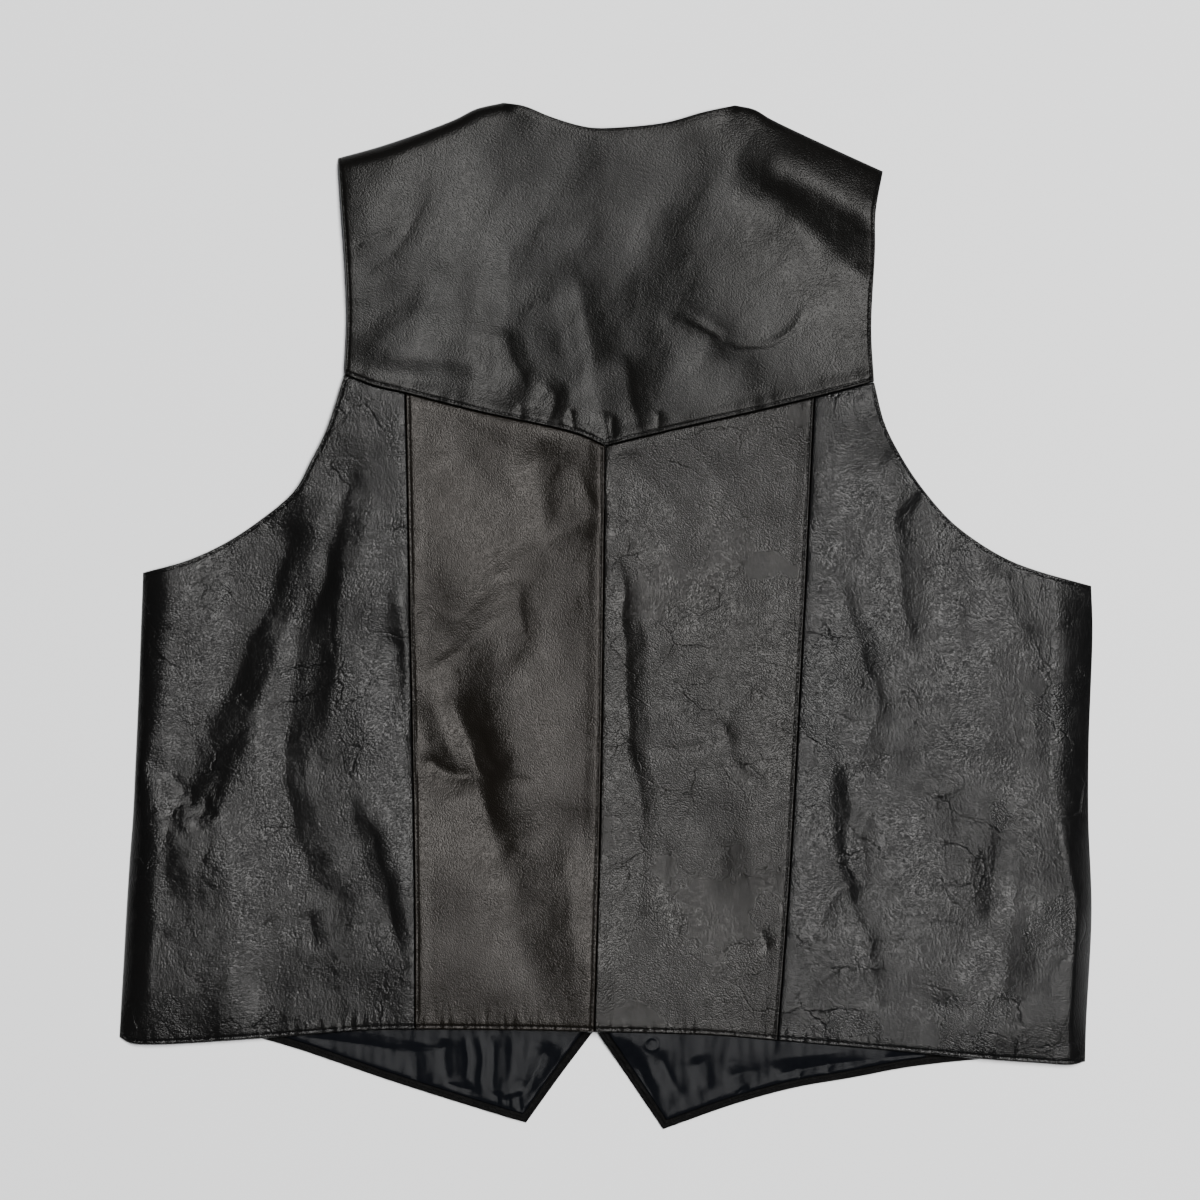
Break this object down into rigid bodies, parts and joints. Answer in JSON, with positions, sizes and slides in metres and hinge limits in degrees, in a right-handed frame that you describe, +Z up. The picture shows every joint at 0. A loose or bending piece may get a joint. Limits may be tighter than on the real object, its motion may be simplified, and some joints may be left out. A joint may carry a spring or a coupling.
{
  "type": "leather vest laid flat",
  "caption": "Black leather vest laid flat on its front, back up, with a shoulder yoke, princess seams, a centre back seam and lined front points showing below the hem.",
  "frame": {"origin": "on the surface that the vest lies on, under the middle of its outline seen from above", "axes": "+Y towards the neck, +X towards the right side of the garment as it lies back up, +Z up"},
  "size_m": [0.662, 0.6982, 0.0129],
  "materials": {
    "leather": "soft black cow leather, semi-gloss, pebbled grain, creased, worn paler on the ridges",
    "lining": "blue-black satin, glossy, finely wrinkled",
    "stud": "dull nickel plated press studs"
  },
  "bodies": {
    "root": {"back_yoke": "leather", "back_side_left": "leather", "back_centre_left": "leather", "back_centre_right": "leather", "back_side_right": "leather", "front_left": "leather", "front_right": "leather", "front_lining_left": "lining", "front_lining_right": "lining", "stud_1": "stud", "stud_2": "stud", "stud_3": "stud", "stud_4": "stud"}
  },
  "joints": []
}
